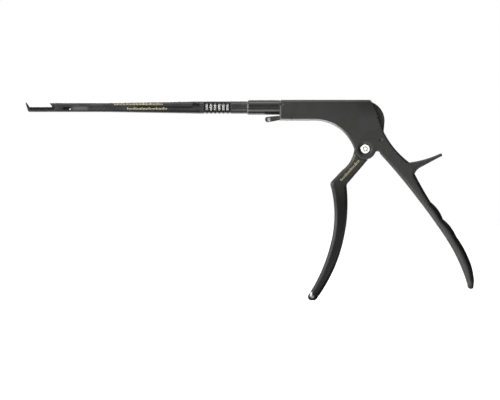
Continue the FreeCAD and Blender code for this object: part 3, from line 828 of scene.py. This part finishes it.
# Release lever: a painted highlight of bright steel on its rounded end, and painted shade near
# black on its nose.
LEVER_COAT = Coating(
    "lever_coat", (0.05, 0.05, 0.048), (0.08, 0.08, 0.076), bare_and_highlight=(0.86, 0.86, 0.84), wear=0.2,
    painted_highlights=(Zone((13.9, 15.7), (0.0, 3.0), (-10.0, -6.6), soft=0.6),),
    painted_shade=(Zone((10.5, 13.8), (0.0, 3.0), (-11.0, -5.0), soft=0.3),),
)
ETCHED = Coating(
    "etched_gold", (0.82, 0.76, 0.44), (0.6, 0.55, 0.32), specular=0.3, wear=0.0,
    easing=(0.02 * MM, 0.02 * MM),
)
SPRING_STEEL = BareMetal("spring_steel", (0.32, 0.31, 0.3), (0.2, 0.15, 0.1))
BRONZE = BareMetal("bearing_bronze", (0.56, 0.36, 0.16), (0.28, 0.16, 0.07), (0.24, 0.4))


def dress(finish: Coating | BareMetal, *nodes: str) -> None:
    """Gives a finish to nodes of the frame.

    Args:
        finish: The finish.
        *nodes: Their names.
    """
    for name in nodes:
        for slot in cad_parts[name].material_slots:
            slot.material = finish.material()
        log.info("%s: %s", name, finish.name)


def start_piece() -> None:
    """Leaves edit mode and deselects everything."""
    if bpy.context.object and bpy.context.object.mode != "OBJECT":
        bpy.ops.object.mode_set(mode="OBJECT")
    bpy.ops.object.select_all(action="DESELECT")


def add_block(name: str, low: Vector, high: Vector) -> Object:
    """Adds a block between two corners, and leaves it active with its place in its mesh.

    Args:
        name: The piece's name.
        low: Its lowest corner.
        high: Its highest corner.

    Returns:
        The object.
    """
    start_piece()
    bpy.ops.mesh.primitive_cube_add(size=1.0, location=(low + high) / 2)
    block = bpy.context.object
    block.name = name
    block.scale = high - low
    bpy.ops.object.transform_apply(location=True, rotation=True, scale=True)
    return block


def select_faces(piece: Object, facing: Vector) -> None:
    """Goes into edit mode with only the faces selected that face one way.

    Args:
        piece: The active piece.
        facing: The direction.
    """
    bpy.ops.object.mode_set(mode="EDIT")
    bpy.ops.mesh.select_mode(type="FACE")
    bpy.ops.mesh.select_all(action="DESELECT")
    bpy.ops.object.mode_set(mode="OBJECT")
    for face in piece.data.polygons:
        face.select = face.normal.dot(facing) > SAME_WAY
    bpy.ops.object.mode_set(mode="EDIT")


def round_edges(piece: Object, width: float, segments: int = 2) -> None:
    """Rounds the edges of the active piece for good.

    Args:
        piece: The piece.
        width: The width of the rounding.
        segments: Its steps.
    """
    rounding = piece.modifiers.new("rounding", "BEVEL")
    rounding.width = width
    rounding.segments = segments
    bpy.ops.object.modifier_apply(modifier=rounding.name)


def hand_over(piece: Object, body: str, finish: Coating | BareMetal) -> None:
    """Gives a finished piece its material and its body.

    Args:
        piece: The piece.
        body: The body that it moves with.
        finish: Its finish.
    """
    piece.data.materials.clear()
    piece.data.materials.append(finish.material())
    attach(piece, body)
    log.info("%s rides on %s", piece.name, body)


@dataclass(frozen=True)
class Coil:
    """A compression spring with closed ends, wound where its plain node is.

    Its sizes are in millimetres.

    Attributes:
        name: The piece's name.
        node: The node that it stands for.
        joint: The joint whose motion would shorten it; not used.
        axis: Its axis, 0 for X or 2 for Z.
        high_end_stays: True where its seat at the high end is the fixed one; not used.
        wire: The thickness of its wire.
        turns: Its turns, with the closed one at each end.
        closes: How much shorter it is at the joint's limit; not used.
        steps: The corners of one turn.
        wire_steps: The resolution of the wire's roundness.
    """

    name: str
    node: str
    joint: str
    axis: int
    high_end_stays: bool
    wire: float
    turns: int
    closes: float

    steps: ClassVar[int] = 28
    wire_steps: ClassVar[int] = 3

    def rise(self, turn: float, length: float) -> float:
        """Gives how far the wire has climbed after some turns.

        Args:
            turn: The turns from the low end.
            length: The whole climb.

        Returns:
            The climb.
        """
        open_pitch = (length - 2 * self.wire) / (self.turns - 2)
        closed_start = min(turn, 1.0) * self.wire
        closed_end = max(turn - self.turns + 1, 0.0) * self.wire
        return closed_start + min(max(turn - 1, 0.0), self.turns - 2) * open_pitch + closed_end

    def wind(self, low: Vector, high: Vector) -> Object:
        """Winds the wire between the corners of the node's box.

        Args:
            low: The lowest corner, in millimetres.
            high: The highest corner.

        Returns:
            The coil, as a mesh.
        """
        middle = (low + high) / 2
        radius = (high.y - low.y - self.wire) / 2
        length = high[self.axis] - low[self.axis] - self.wire
        data = bpy.data.curves.new(self.name, "CURVE")
        data.dimensions = "3D"
        data.bevel_depth = self.wire / 2 * MM
        data.bevel_resolution = self.wire_steps
        data.use_fill_caps = True
        line = data.splines.new("POLY")
        line.points.add(self.turns * self.steps)
        for index, point in enumerate(line.points):
            turn = index / self.steps
            around = math.tau * turn
            place = middle.copy()
            place[self.axis] = low[self.axis] + self.wire / 2 + self.rise(turn, length)
            place[2 - self.axis] += radius * math.cos(around)
            place.y += radius * math.sin(around)
            point.co = (*(place * MM), 1.0)
        start_piece()
        piece = bpy.data.objects.new(self.name, data)
        bpy.context.scene.collection.objects.link(piece)
        piece.select_set(True)
        bpy.context.view_layer.objects.active = piece
        bpy.ops.object.convert(target="MESH")
        bpy.ops.object.shade_smooth()
        return bpy.context.object

    def build(self) -> None:
        """Winds the coil, gives it its finish on the handle's body, and hides its plain node."""
        low, high = (Vector(corner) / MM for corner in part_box(self.node))
        piece = self.wind(low, high)
        hand_over(piece, "handle", SPRING_STEEL)
        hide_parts(self.node)
        axis = Vector((0.0, 0.0, 0.0))
        axis[self.axis] = 1.0
        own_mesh(piece)


@dataclass(frozen=True)
class Scale:
    """A row of etched ticks on a near flat side. Its places are in millimetres.

    Attributes:
        name: The piece's name.
        body: The body that carries it.
        slot: The record's slot of the coat that it is etched into; not used.
        start: The foot of its first tick.
        length: The distance from its first tick to its last.
        rise: The angle at which the row climbs towards Z, in degrees.
        flare: The angle at which the flat side turns outwards along the row, in degrees.
        pitch: The distance from tick to tick.
        tick: The width and the height of a tick.
        long_every: Each so many ticks, one is long.
        long_share: How much taller a long one is.
        thickness: How thick its mark is.
        proud: How far it stands out.
    """

    name: str
    body: str
    slot: str
    start: tuple[float, float, float]
    length: float
    rise: float = 0.0
    flare: float = 0.0
    pitch: float = 1.0
    tick: Span = (0.5, 1.05)
    long_every: int = 5
    long_share: float = 1.5
    thickness: float = 0.03
    proud: float = 0.012

    def row(self, name: str, pitch: float, foot: float, top: float) -> Object:
        """Makes a row of equal ticks at the origin, along X.

        Args:
            name: The row's name.
            pitch: The distance from tick to tick.
            foot: The height of their lower ends.
            top: The height of their upper ends.

        Returns:
            The row.
        """
        low = Vector((0.0, -self.proud, foot)) * MM
        high = Vector((self.tick[0], self.thickness - self.proud, top)) * MM
        row = add_block(name, low, high)
        copies = row.modifiers.new("copies", "ARRAY")
        copies.count = int(self.length / pitch) + 1
        copies.use_relative_offset = False
        copies.use_constant_offset = True
        copies.constant_offset_displace = (pitch * MM, 0.0, 0.0)
        bpy.ops.object.modifier_apply(modifier=copies.name)
        return row

    def build(self) -> None:
        """Makes the ticks and the tops of the long ones as one piece, and lays it on its side."""
        height = self.tick[1]
        tops = self.row("long_tops", self.pitch * self.long_every, height, height * self.long_share)
        marks = self.row(self.name, self.pitch, 0.0, height)
        tops.select_set(True)
        bpy.context.view_layer.objects.active = marks
        bpy.ops.object.join()
        marks.rotation_euler = (0.0, -math.radians(self.rise), -math.radians(self.flare))
        marks.location = Vector(self.start) * MM
        bpy.ops.object.transform_apply(location=True, rotation=True, scale=True)
        hand_over(marks, self.body, ETCHED)


@dataclass
class Shaft:
    """The two long halves that meet in a sliding joint. Its places are in millimetres.

    Attributes:
        halves: The coated nodes.
        pins: The nodes of its pins.
        crest_along: Where the crest of the rib under the slider starts and ends.
        crest_half: Half its width.
        crest_heights: Its foot, shoulder and top.
        crest_slope: The share of its half width that slopes.
        crest_rounding: The width to which its edges are rounded.
        scales: The rows of ticks on its sides.
    """

    halves: tuple[str, ...] = ("lower_shaft", "foot_plate", "upper_slider")
    pins: tuple[str, ...] = ("slider_pin",)
    crest_along: Span = (-150.95, -122.86)
    crest_half: float = 1.2
    crest_heights: tuple[float, float, float] = (-0.06, 0.19, 0.26)
    crest_slope: float = 0.35
    crest_rounding: float = 0.04
    scales: tuple[Scale, ...] = (
        Scale("slider_scale", "slider", "coated_shaft", (-92.5, -2.582, 1.6), 33.0, flare=0.855),
        Scale("shaft_scale", "handle", "coated_shaft", (-83.5, -2.716, -1.6), 27.0, flare=0.855),
    )

    def build(self) -> None:
        """Dresses the shaft and makes its fine pieces."""
        dress(SHAFT_COAT, *self.halves)
        dress(PIN_COAT, *self.pins)
        self.make_crest()
        for scale in self.scales:
            scale.build()

    def make_crest(self) -> None:
        """Makes the crowned crest on which the slider runs in front of its guide."""
        foot, shoulder, top = self.crest_heights
        low = Vector((self.crest_along[0], -self.crest_half, foot)) * MM
        high = Vector((self.crest_along[1], self.crest_half, shoulder)) * MM
        crest = add_block("rib_crest", low, high)
        select_faces(crest, Vector((0.0, 0.0, 1.0)))
        bpy.ops.mesh.inset(thickness=self.crest_half * self.crest_slope * MM)
        bpy.ops.transform.translate(value=(0.0, 0.0, (top - shoulder) * MM))
        bpy.ops.object.mode_set(mode="OBJECT")
        round_edges(crest, self.crest_rounding * MM)
        hand_over(crest, "handle", SHAFT_COAT)


@dataclass
class Barrel:
    """The collar that takes the shaft, with its release lever.

    Attributes:
        coated: The coated node.
        pins: The nodes of its pins.
        coil: The spring that holds the release lever down.
    """

    coated: tuple[str, ...] = ("barrel_sleeve",)
    pins: tuple[str, ...] = ("barrel_pins", "release_pin")
    coil: Coil = Coil("release_coil", "release_spring", "release_press", 2, True, 0.3, 5, 0.3)

    def build(self) -> None:
        """Dresses the collar, its pins and the release lever."""
        dress(BARREL_COAT, *self.coated)
        dress(PIN_COAT, *self.pins)
        dress(LEVER_COAT, "release_lever")
        dress(SPRING_STEEL, self.coil.node)
        self.coil.build()


@dataclass
class Grip:
    """The housing with the fixed grip, and the trigger in front of it.

    Attributes:
        arm_scale: The row of ticks on the trigger's arm.
    """

    arm_scale: Scale = Scale(
        "arm_scale", "trigger", "coated_handle", (65.4, -5.75, -51.2), 18.0,
        rise=48.0, tick=(0.45, 1.2),
    )

    def build(self) -> None:
        """Dresses both levers and the joint between them, and marks the trigger."""
        dress(HANDLE_COAT, "handle_frame")
        dress(TRIGGER_COAT, "trigger_lever")
        dress(PIN_COAT, "open_stop_pin")
        dress(SCREW_STEEL, "pivot_screw", "pivot_nut")
        dress(BRONZE, "pivot_bush")
        self.arm_scale.build()


@dataclass
class Drive:
    """The inner pieces that push the slider and bring it back.

    Attributes:
        polished: The nodes of polished steel.
        coil: The spring that opens the jaws.
    """

    polished: tuple[str, ...] = (
        "drive_block", "drive_pin", "coupling_pin", "spring_plug", "spring_washer",
    )
    coil: Coil = Coil("return_coil", "return_spring", "slider_slide", 0, False, 0.6, 10, 15.82)

    def build(self) -> None:
        """Dresses the inner pieces."""
        dress(POLISHED_STEEL, *self.polished)
        dress(SPRING_STEEL, self.coil.node)
        self.coil.build()


@dataclass(frozen=True)
class Lamp:
    """One soft lamp.

    Attributes:
        name: Its name.
        place: Where it stands.
        size: Its width and height.
        radiance: How bright its face is.
        spread: The angle of its beam, in degrees.
    """

    name: str
    place: tuple[float, float, float]
    size: Span
    radiance: float
    spread: float = 120.0

    def hang(self, target: Vector) -> None:
        """Hangs the lamp, unseen by the camera.

        Args:
            target: The point that it faces.
        """
        bpy.ops.object.light_add(type="AREA", location=self.place)
        lamp = bpy.context.object
        lamp.name = self.name
        lamp.data.shape = "RECTANGLE"
        lamp.data.size, lamp.data.size_y = self.size
        lamp.data.energy = self.radiance * math.pi * self.size[0] * self.size[1]
        lamp.data.spread = math.radians(self.spread)
        lamp.visible_camera = False
        aim = target - Vector(self.place)
        lamp.rotation_euler = aim.to_track_quat("-Z", "Y").to_euler()


@dataclass
class Studio:
    """The floor, the lamps, the world and the camera.

    Attributes:
        picture_centre: The point in the middle of the picture.
        picture_width: The width that the picture takes in.
        distance: How far off the camera stands.
        sight: How far it sees.
        floor_size: The floor's side.
        floor_gap: How far it is under the instrument.
        floor_colour: Its colour to look at.
        floor_bounce: Its colour as a reflector of light onto the instrument.
        floor_glow: How brightly it glows to look at, near the instrument and far off.
        glow_radii: How far off that changes.
        sheen: How bright its strips are in the instrument's reflections.
        sheen_inside: How far from the middle such a strip begins, and is brightest.
        sheen_outside: How far from the middle it begins to end, and ends.
        ambient: The strength of the surroundings as light, on the left and on the right.
        ambient_span: The X of the directions between which it changes.
        room: The strength of the surroundings in reflections, ahead and at the left, top and floor.
        room_span: The steepness between which it changes.
        light_centre: The point that the lamps face.
        lamps: The lamps.
    """

    picture_centre: tuple[float, float, float] = (1.74 * MM, 0.0, -64.36 * MM)
    picture_width: float = 347.5 * MM
    distance: float = 2.6
    sight: float = 50.0
    floor_size: float = 14.0
    floor_gap: float = 0.1 * MM
    floor_colour: Colour = (0.86, 0.86, 0.86)
    floor_bounce: Colour = (0.22, 0.22, 0.22)
    floor_glow: Span = (0.55, 0.8)
    glow_radii: Span = (0.25, 1.2)
    sheen: float = 3.0
    sheen_inside: Span = (0.05, 0.08)
    sheen_outside: Span = (0.14, 0.2)
    ambient: Span = (1.5, 0.03)
    ambient_span: Span = (-0.9, 0.35)
    room: Span = (0.03, 0.6)
    room_span: Span = (0.5, 0.98)
    light_centre: tuple[float, float, float] = (0.0, 0.0, -0.03)
    lamps: tuple[Lamp, ...] = (
        Lamp("key_left", (-0.95, -0.12, 0.08), (0.7, 0.9), 1.9),
        Lamp("top_strip", (0.05, -0.1, 0.75), (0.9, 0.35), 0.9),
        Lamp("left_front", (-1.3, -1.3, 0.25), (1.0, 1.0), 3.0),
        Lamp("axis_light", (0.05, -2.2, -0.03), (0.3, 0.3), 1.0),
        Lamp("back_key", (-0.4, 1.2, 0.6), (0.8, 0.8), 2.5),
    )

    def build(self) -> None:
        """Sets the whole studio up."""
        for lamp in self.lamps:
            lamp.hang(Vector(self.light_centre))
        self.make_world()
        self.make_floor()
        self.make_camera()
        bpy.context.scene.view_settings.view_transform = "Standard"

    def make_world(self) -> None:
        """Makes the surroundings: white to look at, and softer as light."""
        world = bpy.data.worlds.new("studio")
        bpy.context.scene.world = world
        world.use_nodes = True
        graph = Graph(world.node_tree)
        path = graph.add("ShaderNodeLightPath")
        seen = graph.directly_seen(path)
        way = graph.split(graph.add("ShaderNodeTexCoord").outputs["Generated"])
        steep = graph.maths("ABSOLUTE", way.outputs["Z"])
        left = graph.maths("MAXIMUM", graph.maths("MULTIPLY", way.outputs["X"], -1.0), 0.0)
        steep = graph.maths("MAXIMUM", steep, left)
        room = graph.span(steep, *self.room_span, *self.room)
        soft = graph.span(way.outputs["X"], *self.ambient_span, *self.ambient)
        soft = graph.span(path.outputs["Is Glossy Ray"], 0.0, 1.0, soft, room)
        back = graph.add("ShaderNodeBackground")
        back.inputs["Color"].default_value = (1.0, 1.0, 1.0, 1.0)
        graph.feed(back.inputs["Strength"], graph.maths("MAXIMUM", seen, soft))
        out = graph.add("ShaderNodeOutputWorld")
        graph.feed(out.inputs["Surface"], back.outputs["Background"])

    def make_floor(self) -> None:
        """Makes the floor under the instrument's lowest point."""
        height = cad_low.z - self.floor_gap
        bpy.ops.mesh.primitive_plane_add(size=self.floor_size, location=(0.0, 0.0, height))
        floor = bpy.context.object
        floor.name = "floor"
        made, graph = new_material("pale_floor")
        matt = graph.add("ShaderNodeBsdfDiffuse")
        path = graph.add("ShaderNodeLightPath")
        seen = graph.directly_seen(path)
        graph.feed(matt.inputs["Color"], graph.blend(seen, self.floor_bounce, self.floor_colour))
        place = graph.add("ShaderNodeTexCoord").outputs["Object"]
        away = graph.vectors("LENGTH", place).outputs["Value"]
        glow = graph.span(away, *self.glow_radii, *self.floor_glow)
        shown = graph.maths("MULTIPLY", seen, glow)
        beside = graph.maths("ABSOLUTE", graph.split(place).outputs["Y"])
        rising = graph.span(beside, *self.sheen_inside, 0.0, self.sheen)
        falling = graph.span(beside, *self.sheen_outside, self.sheen, 0.0)
        sheen = graph.maths("MINIMUM", rising, falling)
        mirrored = graph.maths("MULTIPLY", path.outputs["Is Glossy Ray"], sheen)
        lift = graph.add("ShaderNodeEmission")
        graph.feed(lift.inputs["Strength"], graph.maths("ADD", shown, mirrored))
        both = graph.add("ShaderNodeAddShader")
        graph.feed(both.inputs[0], matt.outputs["BSDF"])
        graph.feed(both.inputs[1], lift.outputs["Emission"])
        out = graph.add("ShaderNodeOutputMaterial")
        graph.feed(out.inputs["Surface"], both.outputs["Shader"])
        floor.data.materials.append(made)

    def make_camera(self) -> None:
        """Puts the camera straight in front of the near side."""
        data = bpy.data.cameras.new("camera")
        camera = bpy.data.objects.new("camera", data)
        bpy.context.scene.collection.objects.link(camera)
        data.lens = data.sensor_width * self.distance / self.picture_width
        data.clip_end = self.sight
        camera.location = Vector(self.picture_centre) - Vector((0.0, self.distance, 0.0))
        camera.rotation_euler = (math.radians(90.0), 0.0, 0.0)
        bpy.context.scene.camera = camera


def main() -> None:
    """Builds the sub-assemblies and the studio, in order."""
    logging.basicConfig(level=logging.INFO, format="%(name)s: %(message)s")
    for part in (Shaft(), Barrel(), Grip(), Drive(), Studio()):
        bpy.ops.object.select_all(action="DESELECT")
        part.build()
        log.info("%s is ready", type(part).__name__)


if __name__ == "__main__":
    main()
